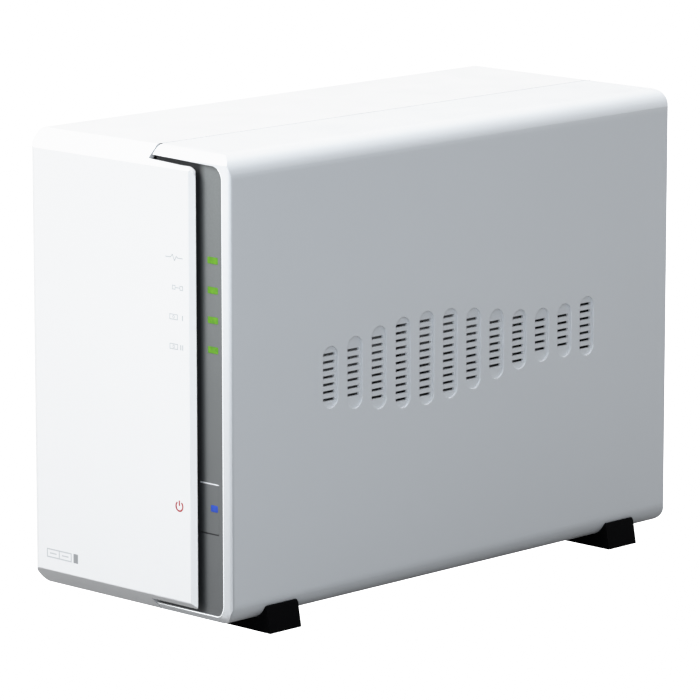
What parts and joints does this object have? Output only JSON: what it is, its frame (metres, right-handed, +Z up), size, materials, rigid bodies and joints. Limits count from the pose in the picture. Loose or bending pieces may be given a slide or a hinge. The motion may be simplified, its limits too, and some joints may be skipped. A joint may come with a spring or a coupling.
{
  "type": "network attached storage",
  "caption": "Upright desktop storage box with a white cover that slides forward, a grey indicator strip with push button, vented sides, a rear fan, drives in a cage and wedge feet.",
  "frame": {"origin": "centre of the footprint on the resting plane under the foot pads", "axes": "+Z up, -Y towards the front panel, +Y towards the rear ports, +X towards the indicator strip's side"},
  "size_m": [0.1, 0.2256, 0.165],
  "materials": {
    "white_shell": "fine satin moulded",
    "white_cover": "fine satin moulded",
    "rear_steel": "light grey satin paint",
    "grey_strip": "satin",
    "green_light": "lit",
    "blue_light": "lit",
    "clear_pipe": "clear polished",
    "led_resin": "clear",
    "black_plastic": "moulded",
    "ivory_plastic": "moulded",
    "circuit_board": "solder mask",
    "zinc_steel": "zinc plated",
    "black_foot": "satin",
    "black_rubber": "matt",
    "cage_steel": "galvanised",
    "cast_aluminium": "cast",
    "lid_steel": "brushed",
    "heatsink_aluminium": "anodised",
    "socket_steel": "tinned",
    "blue_plastic": "moulded",
    "capacitor_can": "sleeved",
    "coil_ferrite": "sintered",
    "cell_steel": "polished",
    "fan_plastic": "moulded",
    "bearing_bronze": "sintered",
    "copper_winding": "enamelled wire",
    "black_steel": "black",
    "cable_black": "insulation",
    "cable_grey": "ribbon"
  },
  "bodies": {
    "chassis": {"main_shell": "white_shell", "rear_panel": "rear_steel", "port_plate": "socket_steel", "front_bezel": "grey_strip", "light_windows": "green_light", "light_pipe": "clear_pipe", "led_chips": "led_resin", "power_switch": "black_plastic", "front_board": "circuit_board", "front_board_screws": "zinc_steel", "bezel_screws": "zinc_steel", "right_feet": "black_foot", "right_foot_pads": "black_rubber", "drive_cage": "cage_steel", "cage_screws": "zinc_steel", "drive_1_base": "cast_aluminium", "drive_1_lid": "lid_steel", "drive_1_board": "circuit_board", "drive_2_base": "cast_aluminium", "drive_2_lid": "lid_steel", "drive_2_board": "circuit_board", "drive_screws": "zinc_steel", "backplane_board": "circuit_board", "sata_connectors": "black_plastic", "board_slot": "black_plastic", "backplane_screws": "zinc_steel", "mainboard": "circuit_board", "mainboard_screws": "zinc_steel", "processor": "black_plastic", "heatsink": "heatsink_aluminium", "memory_chips": "black_plastic", "lan_port": "socket_steel", "lan_insert": "black_plastic", "usb_ports": "socket_steel", "usb_tongues": "blue_plastic", "dc_jack": "black_plastic", "reset_switch": "black_plastic", "capacitors": "capacitor_can", "power_coils": "coil_ferrite", "coin_cell": "cell_steel", "cell_holder": "black_plastic", "cable_headers": "ivory_plastic", "fan_frame": "fan_plastic", "fan_bearing": "bearing_bronze", "fan_stator": "copper_winding", "fan_screws": "black_steel", "fan_cable": "cable_black", "front_cable": "cable_grey", "cover_screws": "zinc_steel", "rear_panel_screws": "zinc_steel", "lock_plate": "cage_steel"},
    "cover": {"cover_shell": "white_cover", "left_feet": "black_foot", "left_foot_pads": "black_rubber"},
    "fan_wheel": {"fan_rotor": "fan_plastic", "fan_shaft": "lid_steel"},
    "power_key": {"power_button": "grey_strip", "power_button_lens": "blue_light", "power_switch_stem": "ivory_plastic"},
    "reset_key": {"reset_button": "ivory_plastic"}
  },
  "joints": [
    {"name": "cover_slide", "type": "slide", "parent": "chassis", "child": "cover", "axis": [0, -1, 0], "range_m": [0, 0.235]},
    {"name": "fan_spin", "type": "hinge", "parent": "chassis", "child": "fan_wheel", "pos_m": [0, 0.096, 0.1145], "axis": [0, 1, 0], "continuous": true},
    {"name": "power_press", "type": "slide", "parent": "chassis", "child": "power_key", "axis": [0, 1, 0], "range_m": [0, 0.0008]},
    {"name": "reset_press", "type": "slide", "parent": "chassis", "child": "reset_key", "axis": [0, -1, 0], "range_m": [0, 0.0003]}
  ]
}
